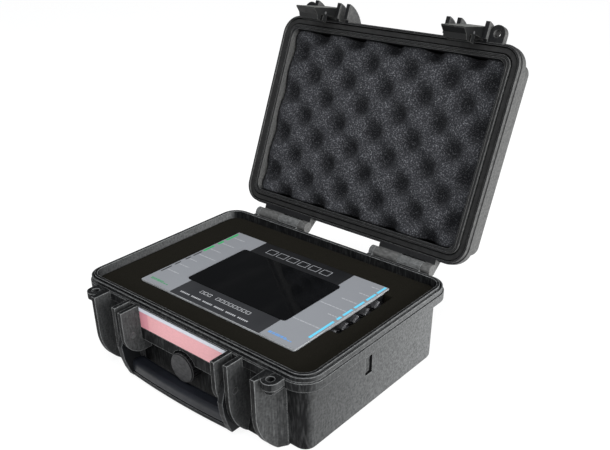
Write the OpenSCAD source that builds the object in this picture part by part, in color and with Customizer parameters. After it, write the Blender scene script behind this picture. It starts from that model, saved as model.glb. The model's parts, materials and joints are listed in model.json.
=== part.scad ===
// Portable test instrument in a hard carrying case.
// The case is a moulded base and lid on two rear hinges, with two front latches and a fold-down handle.
// X runs to the right along the front, Y to the rear and Z up. The origin is the middle of the underside.
// The lid and the latches are drawn as if the case were shut, then turned open about the hinge axis.

/* [Case] */
// Width across the rims
case_w = 258.8; // [236:0.2:320]
// Depth across the rims, without the ribs and hinges
case_d = 189.3; // [155:0.1:240]
// Height of the base, from the floor to its rim
base_h = 71.8; // [66:0.1:90]
// Depth of the lid, from its rim to its top
lid_h = 42; // [38:0.5:60]
// Thickness of the case walls
wall = 4.5; // [3.5:0.1:5.5]
// Height of the thick rim band on the base and on the lid
rim_h = 12.3; // [10:0.1:14]
// How far the rim bands stand out from the walls
rim_out = 7.5; // [6:0.1:9]
// Outside radius of the rim corners
rim_r = 18.5; // [17:0.5:26]
// How far the walls lean in, from the rim band to the floor
draft = 1; // [0.5:0.5:3]
// Rounding where the walls meet the floor and the lid top
edge_r = 4; // [2:0.5:7]
// Gap between the two rims when the case is shut
seam = 0.3; // [0.2:0.1:0.5]

/* [Rim seal] */
// Distance from the rim's outer face to the sealing tongue
tongue_in = 3.8; // [3.6:0.1:4.4]
// Width of the sealing tongue
tongue_w = 2.6; // [2:0.1:3.2]
// Height of the tongue above the rim
tongue_h = 1.4; // [1:0.1:2]
// Depth of the groove in the lid that takes the tongue and the gasket
groove_depth = 5; // [4:0.5:7]

/* [Hinges] */
// Distance from the middle of the case to the middle of each hinge
hinge_x = 71.2; // [60:0.1:75]
// Length of each hinge
hinge_len = 65; // [50:1:70]
// Radius of the hinge barrels
hinge_r = 5.4; // [4.5:0.1:6]
// Radius of the hinge pins
hinge_pin_r = 2; // [1.5:0.1:2.5]
// Distance from the rear rim face to the hinge axis
hinge_back = 8.8; // [8:0.1:11]
// Distance of the hinge axis below the base rim
hinge_drop = 1.2; // [0.5:0.1:2]
// How far the lid opens, in degrees
open_angle = 113; // [95:1:118]

/* [Latches] */
// Distance from the middle of the case to the middle of each latch
latch_x = 78.5; // [74:0.5:84]
// Width of each latch
latch_w = 22; // [18:0.5:26]
// Radius of the latch pivot pins
latch_pin_r = 2.6; // [2:0.1:3]
// Height of the latch pivot above the base rim
latch_pin_up = 9.2; // [8.5:0.1:11]
// Distance of the latch pivot in front of the rim face
latch_pin_front = 6.4; // [6.2:0.1:8]
// Thickness of the front ribs
rib_t = 4; // [3:0.5:5]
// How far the latch ribs stand in front of the rim face
rib_front = 15.9; // [14:0.1:19]

/* [Padlock eyelets] */
// Distance from the middle of the case to each eyelet
eyelet_x = 101; // [98:0.5:106]
// Radius of the padlock holes
eyelet_bore_r = 3.2; // [2.5:0.1:4]
// Radius of the eyelet tabs
eyelet_r = 7.3; // [6.5:0.1:9]
// Thickness of the eyelet tabs
eyelet_t = 6; // [4:0.5:8]

/* [Handle] */
// Thickness of the handle arms
arm_t = 5; // [4:0.5:6]
// Clearance between an arm and the rib on either side
arm_gap = 1; // [0.5:0.1:1.5]
// Radius of the handle pivot pins
handle_pin_r = 2.5; // [2:0.1:3]
// Height of the handle pivot above the floor
handle_pin_z = 43.7; // [40:0.1:50]
// Distance of the handle pivot in front of the rim face
handle_pin_front = 9; // [7:0.1:10]
// Height of the grip from its lower lip to its top
grip_h = 14.5; // [12:0.5:18]
// Depth of the grip from front to back
grip_d = 13; // [11:0.5:14]
// Height of the grip above the floor
grip_z = 3; // [2:0.5:8]
// How far the middle of the grip bows out in front of its ends
grip_bow = 2.2; // [1:0.1:4]

/* [Pressure valve] */
// Height of the valve above the floor
valve_z = 31; // [28:0.5:36]
// Radius of the valve knob
knob_r = 13; // [10:0.5:14]
// Height of the knob in front of the case wall
knob_t = 10.5; // [8:0.5:12]
// Radius of the valve body that passes through the wall
valve_r = 8; // [5:0.5:9]

/* [Instrument] */
// Width of the instrument
inst_w = 178.2; // [150:0.1:214]
// Depth of the instrument
inst_d = 121.2; // [100:0.1:146]
// Height of the instrument
inst_h = 36; // [30:0.5:43.5]
// Height of the instrument's top above the foam around it
inst_proud = 0.8; // [0.4:0.1:3]
// Distance from the base rim down to the top of the foam
foam_drop = 5.3; // [4:0.1:8]
// Thickness of the instrument's sheet-metal chassis
sheet = 1.5; // [1:0.1:2]
// Thickness of the instrument's top panel
panel_t = 2; // [1.5:0.1:3]
// Thickness of the printed films on the panel
film_t = 0.4; // [0.3:0.1:0.8]
// How far the light side films reach past the ends of the touch glass
film_lap = 4.8; // [0.5:0.1:6]
// Width of the touch glass
glass_w = 114.2; // [96:0.1:137]
// Depth of the touch glass
glass_d = 72; // [60:0.1:86]
// Thickness of the touch glass
glass_t = 1.8; // [1.2:0.1:2.4]
// Distance between the coaxial sockets
socket_pitch = 14.5; // [13:0.1:17]
// Radius of the coaxial sockets' barrels
socket_r = 4.8; // [4.8:0.1:6]
// Clearance between the instrument and the foam
inst_gap = 0.4; // [0.3:0.1:2]

/* [Hidden] */
$fn = 64;

half_w = case_w / 2;
half_d = case_d / 2;
running = 0.08;

// Case heights, in the shut case
rim_low = base_h - rim_h;
lid_low = base_h + seam;
lid_top = lid_low + lid_h;
wall_front = -(half_d - rim_out);
wall_back = -wall_front;
rim_front = -half_d;
step_h = 4.3;
step_in = 1.2;
base_lip = tongue_in + tongue_w;
ledge_z = base_h - foam_drop - 3;
seal_in = tongue_in - 0.9;
seal_out = base_lip + 2.9;
lid_lip = seal_out + 4.1;
lid_mouth_r = rim_r + 3;

// Hinges
axis_y = half_d + hinge_back;
axis_z = base_h - hinge_drop;
ear_len = 4.8;
end_ear_len = 9;
pin_cover = 1.2;
knuckle_gap = 0.4;
knuckle_len = (hinge_len - ear_len - end_ear_len - 3 * knuckle_gap) / 2;

// Front ribs, by their distance from the middle of the case
latch_gap = 0.5;
latch_rib_in = latch_x - latch_w / 2 - latch_gap - rib_t;
latch_rib_out = latch_x + latch_w / 2 + latch_gap;
arm_in = latch_rib_in - arm_gap - arm_t;
handle_rib_in = arm_in - arm_gap - rib_t;
rib_top = base_h - 3.4;
rib_y = rim_front - rib_front;
rib_bend_r = 45;
rib_bend_z = 35.6;
fin_bend_r = 34;
fin_bend_z = base_h - 5.3;
fin_low = rib_top + 0.4;

latch_pin_y = rim_front - latch_pin_front;
latch_pin_z = base_h + latch_pin_up;
eyelet_y = latch_pin_y;
eyelet_top = base_h - 3.5;
boss_h = 5;
boss_tip_r = eyelet_bore_r + 1;
boss_root_r = eyelet_r - 1.5;

handle_pin_y = rim_front - handle_pin_front;
grip_half = arm_in;
grip_front = -rim_front + 12.5;
bow_r = (grip_half * grip_half + grip_bow * grip_bow) / (2 * grip_bow);
lip_h = 3.6;

// Pressure valve
valve_flange = 4;
valve_inside = 4;
stem_r = 5.5;

// Name card panel between the handle ribs
card_panel_low = 37;
card_t = 0.6;
card_panel_y = rim_front - card_t - 0.1;
card_low = card_panel_low + 11.5;
card_header_h = 3.2;

// Foam and instrument heights
foam_top = base_h - foam_drop;
inst_top = foam_top + inst_proud;
inst_low = inst_top - inst_h;
pad_low = wall + 0.5;
pad_top = inst_low - 0.5;
foam_clear = 0.8;
inst_y = -1;
panel_low = inst_top - film_t - panel_t;
glass_x = -1;
side_film_w = (inst_w - glass_w) / 2 + film_lap;
glass_proud = 0.5;

socket_z = inst_top - 12.3;
socket_len = 8.4;
socket_y = [for (i = [-1:3]) i * socket_pitch + 1];
bayonet_sockets = [1, 2];
nut_r = 6.9;
input_y = [for (i = [-1.5:1:1.5]) i * socket_pitch];
button_y = 45;
button_r = 4;
inlet_y = -45;

// ---- Shared shapes ----

// A quarter round in n steps: from the flat floor, edge offset `off`, up to height r.
function foot_round(off, r, n = 5) = [for (i = [0:n]) [off - r * (1 - sin(90 * i / n)), r * (1 - cos(90 * i / n))]];

// A solid with rounded corners whose outline follows `edge`, a list of [offset outward, height].
module rounded_body(edge, half_x = half_w, half_y = half_d, corner_r = rim_r) {
    flat_x = half_x - corner_r;
    flat_y = half_y - corner_r;
    last = len(edge) - 1;
    rise = [for (e = edge) [corner_r + e[0], e[1]]];
    fall = [for (i = [last:-1:0]) [-corner_r - edge[i][0], edge[i][1]]];
    for (sx = [-1, 1], sy = [-1, 1])
        translate([sx * flat_x, sy * flat_y, 0])
            rotate_extrude($fn = 96)
                polygon(concat([[0, edge[0][1]]], rise, [[0, edge[last][1]]]));
    translate([0, flat_y, 0])
        rotate([90, 0, 0])
            linear_extrude(2 * flat_y)
                polygon(concat(
                    [for (p = rise) [p[0] + flat_x, p[1]]],
                    [for (p = fall) [p[0] - flat_x, p[1]]]));
    translate([-flat_x, 0, 0])
        rotate([90, 0, 90])
            linear_extrude(2 * flat_x)
                polygon(concat(
                    [for (p = rise) [p[0] + flat_y, p[1]]],
                    [for (p = fall) [p[0] - flat_y, p[1]]]));
}

// A ring that follows the rim, between two distances in from the rim's outer face.
module rim_ring(outer_in, inner_in, low, high) {
    difference() {
        rounded_body([[-outer_in, low], [-outer_in, high]]);
        rounded_body([[-inner_in, low - 1], [-inner_in, high + 1]]);
    }
}

// A straight block with rounded corners, centred on X and Y.
module rounded_block(size_x, size_y, corner_r, low, high) {
    rounded_body([[0, low], [0, high]], size_x / 2, size_y / 2, corner_r);
}

// The outline of one half of the case: floor rounding, leaning wall, rim band and its step.
function shell_edge(height) = concat(
    foot_round(-rim_out - draft, edge_r),
    [
        [-rim_out, height - rim_h],
        [-1, height - rim_h],
        [0, height - rim_h + 1],
        [0, height - step_h],
        [-step_in, height - step_h + 0.6],
        [-step_in, height]
    ]);

// The hollow of one half of the case. Its mouth, above the ledge, is `lip` in from the rim's outer face.
function hollow_edge(height, ledge, lip) = [
    [-rim_out - wall - draft, wall],
    [-rim_out - wall, height - rim_h],
    [-rim_out - wall, ledge],
    [-lip, ledge],
    [-lip, height + tongue_h + 1]
];

// Extrudes an outline drawn in the YZ plane along X, from x0 to x1.
module along_x(x0, x1) {
    translate([x0, 0, 0])
        rotate([90, 0, 90])
            linear_extrude(x1 - x0)
                children();
}

// A cylinder along X, from x0 to x1.
module rod_x(x0, x1, r, y, z) {
    translate([x0, y, z])
        rotate([0, 90, 0])
            cylinder(h = x1 - x0, r = r);
}

// A cylinder along Y, from y0 to y1.
module rod_y(y0, y1, r, x, z) {
    translate([x, y0, z])
        rotate([-90, 0, 0])
            cylinder(h = y1 - y0, r = r);
}

// A box from one corner to the other.
module box(low, high) {
    translate(low)
        cube(high - low);
}

// Draws its children at the left and mirrored at the right.
module both_sides() {
    children();
    mirror([1, 0, 0])
        children();
}

// Turns the shut lid's pieces open about the hinge axis.
module open_lid() {
    translate([0, axis_y, axis_z])
        rotate([-open_angle, 0, 0])
            translate([0, -axis_y, -axis_z])
                children();
}

// ---- Base ----

// Side outline of a latch rib: upright at the front, then a round bend in to the floor.
module latch_rib_outline() {
    centre_y = rib_y + rib_bend_r;
    intersection() {
        translate([rib_y, 0.6])
            square([wall_front + wall - rib_y, rib_top - 0.6]);
        union() {
            translate([centre_y, rib_bend_z])
                circle(rib_bend_r, $fn = 128);
            translate([rib_y, rib_bend_z])
                square([rib_bend_r, rib_top - rib_bend_z]);
        }
    }
}

// Side outline of a handle rib, which ends above the grip in a round bend.
module handle_rib_outline() {
    front = rib_y - 2.4;
    bend_r = 20;
    bend_z = handle_pin_z + 1.5;
    intersection() {
        translate([front, bend_z - bend_r])
            square([wall_front + wall - front, rib_top - bend_z + bend_r]);
        union() {
            translate([front + bend_r, bend_z])
                circle(bend_r);
            translate([front + bend_r, bend_z - bend_r])
                square([bend_r, bend_r]);
            translate([front, bend_z])
                square([bend_r * 2, rib_top - bend_z]);
        }
    }
}

// The outer latch rib, seen from above, spreads into the case corner.
module outer_rib_plan() {
    x = latch_rib_out;
    root = wall_front + wall;
    polygon([
        [x, root], [x, rib_y - 1], [x + rib_t, rib_y - 1], [x + rib_t + 2.4, rib_y + 9],
        [x + rib_t + 5, rib_y + 17], [x + rib_t + 9, wall_front], [x + rib_t + 9, root]
    ]);
}

module front_ribs() {
    along_x(handle_rib_in, handle_rib_in + rib_t)
        handle_rib_outline();
    along_x(latch_rib_in, latch_rib_in + rib_t)
        latch_rib_outline();
    intersection() {
        along_x(latch_rib_out, latch_rib_out + rib_t + 9)
            latch_rib_outline();
        linear_extrude(rib_top)
            outer_rib_plan();
    }
    // The sloping floor of the latch recess
    along_x(latch_rib_in, latch_rib_out + rib_t)
        polygon([
            [wall_front + wall, 0.6], [rim_front + 1.2, 0.6], [rim_front + 4.6, 12],
            [wall_front + 1, 24], [wall_front + wall, 24]
        ]);
}

module eyelet_tab(low) {
    translate([eyelet_x, eyelet_y, low])
        cylinder(h = eyelet_t, r = eyelet_r);
    box([eyelet_x - eyelet_r, eyelet_y, low], [eyelet_x + eyelet_r, wall_front + 1, low + eyelet_t]);
}

module eyelet_bore(low, length) {
    translate([eyelet_x, eyelet_y, low - 1])
        cylinder(h = length + 2, r = eyelet_bore_r);
}

// The conical boss behind an eyelet tab, with its radius at the bottom and at the top.
module eyelet_boss(low, r_low, r_high) {
    translate([eyelet_x, eyelet_y, low])
        cylinder(h = boss_h, r1 = r_low, r2 = r_high);
    box([eyelet_x - eyelet_bore_r - 1, eyelet_y, low], [eyelet_x + eyelet_bore_r + 1, wall_front + 1, low + boss_h]);
}

// One knuckle: a barrel on the hinge axis. x0 is its left end.
module barrel(x0, length) {
    rod_x(x0, x0 + length, hinge_r, axis_y, axis_z);
}

// Left ends of the four knuckles of a hinge whose left end is at x0, in the order base, lid, base, lid.
function knuckle_starts(x0) = [
    x0,
    x0 + ear_len + knuckle_gap,
    x0 + ear_len + knuckle_len + 2 * knuckle_gap,
    x0 + hinge_len - end_ear_len
];
function hinge_starts() = [-hinge_x - hinge_len / 2, hinge_x - hinge_len / 2];

module base_knuckle(x0, length) {
    barrel(x0, length);
    along_x(x0, x0 + length)
        polygon([
            [wall_back - 1, rim_low], [half_d, rim_low], [axis_y + hinge_r * 0.6, axis_z - hinge_r * 0.8],
            [axis_y, axis_z], [wall_back - 1, axis_z]
        ]);
}

module base_hinges() {
    for (x0 = hinge_starts()) {
        starts = knuckle_starts(x0);
        base_knuckle(starts[0], ear_len);
        base_knuckle(starts[2], knuckle_len);
    }
}

// The raised panel between the handle ribs that carries the name card.
module card_panel() {
    difference() {
        box(
            [-handle_rib_in - 1, card_panel_y, card_panel_low],
            [handle_rib_in + 1, wall_front + wall, rib_top]);
        rod_y(card_panel_y - 1, wall_front - 0.2, knob_r + 1.5, 0, valve_z);
        box(
            [-handle_rib_in + 0.5, card_panel_y - 1, card_low],
            [handle_rib_in - 0.5, card_panel_y + card_t, rib_top - 1]);
    }
}

// The shallow upright slot in each end wall.
module end_slot() {
    slot_h = 17;
    slot_w = 9;
    slot_y = -12;
    slot_z = 41.5;
    box(
        [half_w - rim_out - 3.4, slot_y - slot_w / 2, slot_z - slot_h / 2],
        [half_w, slot_y + slot_w / 2, min(slot_z + slot_h / 2, rim_low - 1)]);
}

module base_shell() {
    color("#3a3b3d")
        difference() {
            union() {
                rounded_body(shell_edge(base_h));
                rim_ring(tongue_in, tongue_in + tongue_w + 2, base_h - 3, base_h + tongue_h);
                both_sides() {
                    front_ribs();
                    eyelet_tab(eyelet_top - eyelet_t);
                    eyelet_boss(eyelet_top - eyelet_t - boss_h, boss_tip_r, boss_root_r);
                }
                card_panel();
                base_hinges();
            }
            rounded_body(hollow_edge(base_h, ledge_z, base_lip));
            // The groove beside the tongue
            rim_ring(tongue_in - 1.4, tongue_in, base_h - 1.2, base_h + tongue_h + 1);
            both_sides() {
                eyelet_bore(eyelet_top - eyelet_t - boss_h, eyelet_t + boss_h);
                end_slot();
                rod_x(handle_rib_in - 1, latch_rib_in + rib_t, handle_pin_r, handle_pin_y, handle_pin_z);
            }
            for (x0 = hinge_starts())
                rod_x(x0 - 1, x0 + hinge_len + 1, hinge_pin_r, axis_y, axis_z);
            rod_y(wall_front - 3, wall_front + wall + draft + 2, valve_r, 0, valve_z);
            // Keeps the lid's knuckles clear of the base
            for (x0 = hinge_starts())
                for (start = [knuckle_starts(x0)[1], knuckle_starts(x0)[3]]) {
                    length = start == knuckle_starts(x0)[1] ? knuckle_len : end_ear_len;
                    rod_x(start - knuckle_gap, start + length + knuckle_gap, hinge_r + 0.5, axis_y, axis_z);
                }
        }
}

// Room in the foam for the valve's flange, inside the front wall.
module valve_pocket() {
    reach = valve_r + valve_flange + 1.5;
    box(
        [-reach, -half_d, valve_z - reach],
        [reach, wall_front + wall + draft + valve_inside + 1, valve_z + reach]);
}

module lower_foam_pad() {
    inset = rim_out + wall + draft + foam_clear;
    color("#262621")
        difference() {
            rounded_body([[-inset, pad_low], [-inset, pad_top]]);
            valve_pocket();
        }
}

// The foam that fills the base round the instrument, with a pocket at each socket.
module foam_cradle() {
    inset = base_lip + foam_clear;
    mid_inset = rim_out + wall + foam_clear;
    low_inset = mid_inset + draft;
    pocket_half_w = inst_w / 2 + inst_gap;
    pocket_half_d = inst_d / 2 + inst_gap;
    color("#201e18")
        difference() {
            rounded_body([
                [-low_inset, pad_top + 0.2], [-low_inset, rim_low - 4], [-mid_inset, rim_low], [-mid_inset, ledge_z + 0.2],
                [-inset, ledge_z + 0.2], [-inset, foam_top]
            ]);
            box([-pocket_half_w, inst_y - pocket_half_d, 0], [pocket_half_w, inst_y + pocket_half_d, foam_top + 1]);
            for (y = socket_y)
                box(
                    [0, inst_y + y - nut_r - 0.5, socket_z - nut_r - 0.6],
                    [inst_w / 2 + socket_len + 1.2, inst_y + y + nut_r + 0.5, foam_top + 1]);
            valve_pocket();
        }
}

module hinge_pins() {
    color("#8d9094")
        for (x0 = hinge_starts())
            rod_x(x0, x0 + hinge_len - pin_cover, hinge_pin_r, axis_y, axis_z);
}

module handle_pins() {
    color("#9a9ca0")
        both_sides()
            rod_x(handle_rib_in - 0.6, latch_rib_in + rib_t, handle_pin_r, handle_pin_y, handle_pin_z);
}

// The valve insert: a threaded tube through the wall with a flange inside.
module valve_body() {
    inner_wall = wall_front + wall + draft;
    color("#1c1c1e")
        difference() {
            union() {
                rod_y(wall_front - 1.5, inner_wall + valve_inside, valve_r, 0, valve_z);
                rod_y(inner_wall + 0.1, inner_wall + valve_inside, valve_r + valve_flange, 0, valve_z);
            }
            rod_y(wall_front - 2, inner_wall + 1.5, stem_r + running, 0, valve_z);
        }
}

module valve_seal() {
    color("#101010")
        translate([0, wall_front - 0.3, valve_z])
            rotate([90, 0, 0])
                difference() {
                    cylinder(h = 1.1, r = valve_r + 2.4);
                    translate([0, 0, -1])
                        cylinder(h = 3, r = valve_r);
                }
}

module name_card() {
    color("#e3a1a6")
        box(
            [-handle_rib_in + 0.8, card_panel_y, card_low + 0.2],
            [handle_rib_in - 0.8, card_panel_y + card_t, rib_top - 1.2 - card_header_h]);
}

module name_card_header() {
    color("#e9ebf0")
        box(
            [-handle_rib_in + 0.8, card_panel_y - 0.3, rib_top - 1.2 - card_header_h],
            [handle_rib_in - 0.8, card_panel_y + card_t, rib_top - 1.2]);
}

// ---- Lid ----

// Side outline of a lid fin: a pointed front that rests on the base rib, curving back to the lid wall.
module fin_outline() {
    centre_y = rib_y + 1 + fin_bend_r;
    intersection() {
        translate([rib_y, fin_low])
            square([rib_front + rim_out + wall, lid_top - edge_r - fin_low]);
        translate([centre_y, fin_bend_z])
            circle(fin_bend_r, $fn = 128);
        union() {
            translate([rib_y, fin_low])
                square([rib_front - 0.6, lid_top]);
            translate([rib_y, lid_low])
                square([rib_front + rim_out + wall, lid_top]);
        }
    }
}

module lid_fins() {
    for (x = [handle_rib_in, latch_rib_in, latch_rib_out])
        along_x(x, x + rib_t)
            fin_outline();
}

// The web that ties the lid to a knuckle, or hangs over a knuckle of the base.
module lid_web(x0, length) {
    along_x(x0, x0 + length)
        polygon([
            [half_d - 2, lid_low], [axis_y - hinge_r, lid_low], [axis_y, axis_z], [axis_y + hinge_r * 0.7, axis_z + hinge_r * 0.7],
            [half_d, lid_low + 9.5], [half_d - 2, lid_low + 9.5]
        ]);
}

module lid_hinges() {
    for (x0 = hinge_starts()) {
        starts = knuckle_starts(x0);
        barrel(starts[1], knuckle_len);
        barrel(starts[3], end_ear_len);
        lid_web(starts[1], x0 + hinge_len - starts[1]);
    }
}

module lid_shell() {
    color("#2f3032")
        open_lid()
            difference() {
                union() {
                    translate([0, 0, lid_top])
                        mirror([0, 0, 1])
                            rounded_body(shell_edge(lid_h));
                    both_sides() {
                        lid_fins();
                        eyelet_tab(lid_low + 0.4);
                        eyelet_boss(lid_low + 0.4 + eyelet_t, boss_root_r, boss_tip_r);
                    }
                    lid_hinges();
                }
                translate([0, 0, lid_top])
                    mirror([0, 0, 1])
                        rounded_body(hollow_edge(lid_h, lid_h - rim_h / 2, lid_lip), corner_r = lid_mouth_r);
                rim_ring(seal_in, seal_out, lid_low - 1, lid_low + groove_depth);
                // The fine line along the inner lip
                rim_ring(seal_out + 1.7, seal_out + 2.5, lid_low - 1, lid_low + 0.8);
                both_sides() {
                    eyelet_bore(lid_low + 0.4, eyelet_t + boss_h);
                    rod_x(latch_rib_in - 1, latch_rib_out + rib_t + 1, latch_pin_r, latch_pin_y, latch_pin_z);
                }
                for (x0 = hinge_starts())
                    rod_x(x0 - 1, x0 + hinge_len - pin_cover, hinge_pin_r + running, axis_y, axis_z);
                // Keeps the base's knuckles clear of the lid
                for (x0 = hinge_starts())
                    for (start = [knuckle_starts(x0)[0], knuckle_starts(x0)[2]]) {
                        length = start == knuckle_starts(x0)[2] ? knuckle_len : ear_len;
                        rod_x(start - knuckle_gap, start + length + knuckle_gap, hinge_r + 1, axis_y, axis_z);
                    }
            }
}

module lid_gasket() {
    gasket_low = base_h + tongue_h + 0.2;
    color("#141414")
        open_lid()
            rim_ring(seal_in + 1, seal_out - 1.4, gasket_low, lid_low + groove_depth);
}

// The convoluted foam in the lid, as a plain block of its outer size.
module lid_foam() {
    inset = lid_lip + 0.5;
    color("#35363a")
        open_lid()
            rounded_body(
                [[-inset, lid_low + 3], [-inset, lid_low + 6], [-inset - draft - 1, lid_top - wall - 0.3]],
                corner_r = lid_mouth_r);
}

module latch_pins() {
    color("#9a9ca0")
        open_lid()
            both_sides()
                rod_x(latch_rib_in, latch_rib_out + rib_t, latch_pin_r, latch_pin_y, latch_pin_z);
}

// ---- Latches ----

// Side outline of a latch, measured from its pivot: a plate outside the rims, a hook bar under the base's rim,
// a slot below the hook bar, and a sharp pull edge.
module latch_outline() {
    plate_in = latch_pin_front - 0.6;
    hook_in = latch_pin_front + rim_out - 0.8;
    hook_top = rim_low - 1.1 - latch_pin_z;
    hook_low = hook_top - 5.9;
    slot_low = hook_low - 3;
    body_low = slot_low - 3.7;
    circle(plate_in);
    polygon([
        [-5.4, 2.4], [-6.5, 0], [4.4, body_low - 8.3], [5.4, body_low - 8.3], [9, body_low - 2.6], [hook_in, body_low], [hook_in, slot_low], [7.4, slot_low], [7.4, hook_low], [hook_in, hook_low],
        [hook_in, hook_top], [plate_in, hook_top], [plate_in, 0], [2, 4.6]
    ]);
}

// The place of the latch's cross pin, from the pivot
cross_pin = [4.9, rim_low - 4.4 - latch_pin_z];
cross_pin_r = 1.2;

module latch(side) {
    x0 = side * latch_x - latch_w / 2;
    color("#2c2d2f")
        open_lid()
            difference() {
                translate([0, latch_pin_y, latch_pin_z])
                    along_x(x0, x0 + latch_w)
                        latch_outline();
                rod_x(x0 - 1, x0 + latch_w + 1, latch_pin_r + running, latch_pin_y, latch_pin_z);
                rod_x(x0 - 1, x0 + latch_w + 1, cross_pin_r, latch_pin_y + cross_pin[0], latch_pin_z + cross_pin[1]);
            }
}

module latch_cross_pin(side) {
    x0 = side * latch_x - latch_w / 2;
    color("#a7a9ad")
        open_lid()
            rod_x(x0, x0 + latch_w, cross_pin_r, latch_pin_y + cross_pin[0], latch_pin_z + cross_pin[1]);
}

module latch_left() latch(-1);
module latch_right() latch(1);
module latch_left_cross_pin() latch_cross_pin(-1);
module latch_right_cross_pin() latch_cross_pin(1);

// ---- Handle ----

// A bar that bows forward between the arms. Its outline is drawn with x = 0 at the front face and y as the height.
module bowed_bar(half_len) {
    half_angle = asin(half_len / bow_r);
    translate([0, bow_r - grip_front, 0])
        rotate([0, 0, -90 - half_angle])
            rotate_extrude(angle = 2 * half_angle, $fn = 720)
                translate([bow_r, 0])
                    children();
}

// Side outline of a handle arm, from the pivot eye down to the grip.
module arm_outline() {
    translate([handle_pin_y, handle_pin_z])
        circle(6.2);
    polygon([
        [handle_pin_y - 6, handle_pin_z + 1], [handle_pin_y - 9.6, handle_pin_z - 9.7],
        [handle_pin_y - 8.2, grip_z + 19], [handle_pin_y - 5.4, grip_z + 9], [handle_pin_y - 1.6, grip_z],
        [handle_pin_y + 8, grip_z], [handle_pin_y + 9, grip_z + grip_h - 3], [handle_pin_y + 6.1, handle_pin_z - 1]
    ]);
}

// The inside of the grip that the cover wraps.
module grip_core_outline() {
    translate([-grip_d + 1.6, grip_z])
        square([grip_d - 4.6, grip_h - 2]);
}

module handle_frame() {
    color("#2e2f31")
        difference() {
            union() {
                both_sides()
                    along_x(arm_in, arm_in + arm_t)
                        arm_outline();
                bowed_bar(grip_half + 0.5) {
                    translate([-grip_d, grip_z])
                        square([grip_d, lip_h]);
                }
                bowed_bar(grip_half + 0.5)
                    grip_core_outline();
            }
            both_sides()
                rod_x(arm_in - 1, arm_in + arm_t + 1, handle_pin_r + running, handle_pin_y, handle_pin_z);
        }
}

// The smooth moulded cover over the grip, above the lip.
module handle_grip_cover() {
    cover_low = grip_z + lip_h + 1.5;
    top_r = 3.5;
    color("#1d1f23")
        bowed_bar(grip_half - 0.2)
            difference() {
                union() {
                    translate([-grip_d, cover_low])
                        square([grip_d, grip_z + grip_h - top_r - cover_low]);
                    for (y = [-top_r, -grip_d + top_r])
                        translate([y, grip_z + grip_h - top_r])
                            circle(top_r);
                    translate([-grip_d + top_r, cover_low])
                        square([grip_d - 2 * top_r, grip_z + grip_h - cover_low]);
                }
                grip_core_outline();
            }
}

// ---- Pressure valve knob ----

module valve_knob() {
    flutes = 24;
    knob_back = wall_front - 1.6;
    knob_front = wall_front - knob_t - 1;
    color("#333436")
        difference() {
            union() {
                rod_y(knob_front, knob_back, knob_r - 0.8, 0, valve_z);
                rod_y(knob_front + 1.2, knob_back, knob_r, 0, valve_z);
            }
            for (i = [0:flutes - 1])
                rod_y(
                    knob_front + 1.8, knob_back + 1, 0.8,
                    knob_r * cos(360 / flutes * i), valve_z + knob_r * sin(360 / flutes * i));
            // The hollow that clears the valve body and its seal
            rod_y(knob_back - 1.2, knob_back + 1, valve_r + 2.8, 0, valve_z);
        }
    color("#333436")
        rod_y(knob_back - 1.3, wall_front + wall, stem_r, 0, valve_z);
}

// ---- Instrument ----

module chassis_tub() {
    low = [-inst_w / 2, inst_y - inst_d / 2, inst_low];
    high = [inst_w / 2, inst_y + inst_d / 2, panel_low];
    in = [sheet, sheet, sheet];
    color("#2a2b2d")
        difference() {
            box(low, high);
            box(low + in, [high[0] - sheet, high[1] - sheet, high[2] + 1]);
            for (y = socket_y)
                rod_x(high[0] - sheet - 1, high[0] + 1, socket_r, inst_y + y, socket_z);
            for (y = input_y)
                rod_x(low[0] - 1, low[0] + sheet + 1, socket_r, inst_y + y, socket_z);
            box(
                [low[0] - 1, inst_y + inlet_y - 5, socket_z - 4],
                [low[0] + sheet + 1, inst_y + inlet_y + 5, socket_z + 4]);
            rod_x(low[0] - 1, low[0] + sheet + 1, button_r + running, inst_y + button_y, socket_z);
        }
}

module front_panel() {
    color("#3b3c3f")
        difference() {
            box([-inst_w / 2, inst_y - inst_d / 2, panel_low], [inst_w / 2, inst_y + inst_d / 2, panel_low + panel_t]);
            rounded_window(0, panel_low - 1, panel_low + panel_t + 1);
        }
}

// The opening for the touch glass, `grow` larger on each side.
module rounded_window(grow, low, high) {
    translate([glass_x, 0, 0])
        rounded_block(glass_w + 2 * grow, glass_d + 2 * grow, 3 + grow, low, high);
}

module side_film(side) {
    x_out = side * (inst_w / 2 - 0.3);
    x_in = side * (inst_w / 2 - side_film_w);
    box(
        [min(x_out, x_in), inst_y - inst_d / 2 + 0.3, inst_top - film_t],
        [max(x_out, x_in), inst_y + inst_d / 2 - 0.3, inst_top]);
}

module left_film() color("#9a9da2") side_film_trimmed(-1);
module right_film() color("#9a9da2") side_film_trimmed(1);

module side_film_trimmed(side) {
    difference() {
        side_film(side);
        rounded_window(0.3, inst_top - 1, inst_top + 1);
    }
}

module centre_film() {
    x = inst_w / 2 - side_film_w - 0.1;
    color("#3a3b3e")
        difference() {
            box([-x, inst_y - inst_d / 2 + 0.3, inst_top - film_t], [x, inst_y + inst_d / 2 - 0.3, inst_top]);
            rounded_window(0.3, inst_top - 1, inst_top + 1);
        }
}

module touch_glass() {
    color("#08090a")
        translate([glass_x, 0, 0])
            rounded_block(
                glass_w - 0.2, glass_d - 0.2, 2.9, inst_top + glass_proud - glass_t, inst_top + glass_proud);
}

module display_module() {
    high = inst_top + glass_proud - glass_t;
    color("#4a4c50")
        box([glass_x - glass_w / 2 + 3, -glass_d / 2 + 3, high - 5], [glass_x + glass_w / 2 - 3, glass_d / 2 - 3, high]);
}

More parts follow.
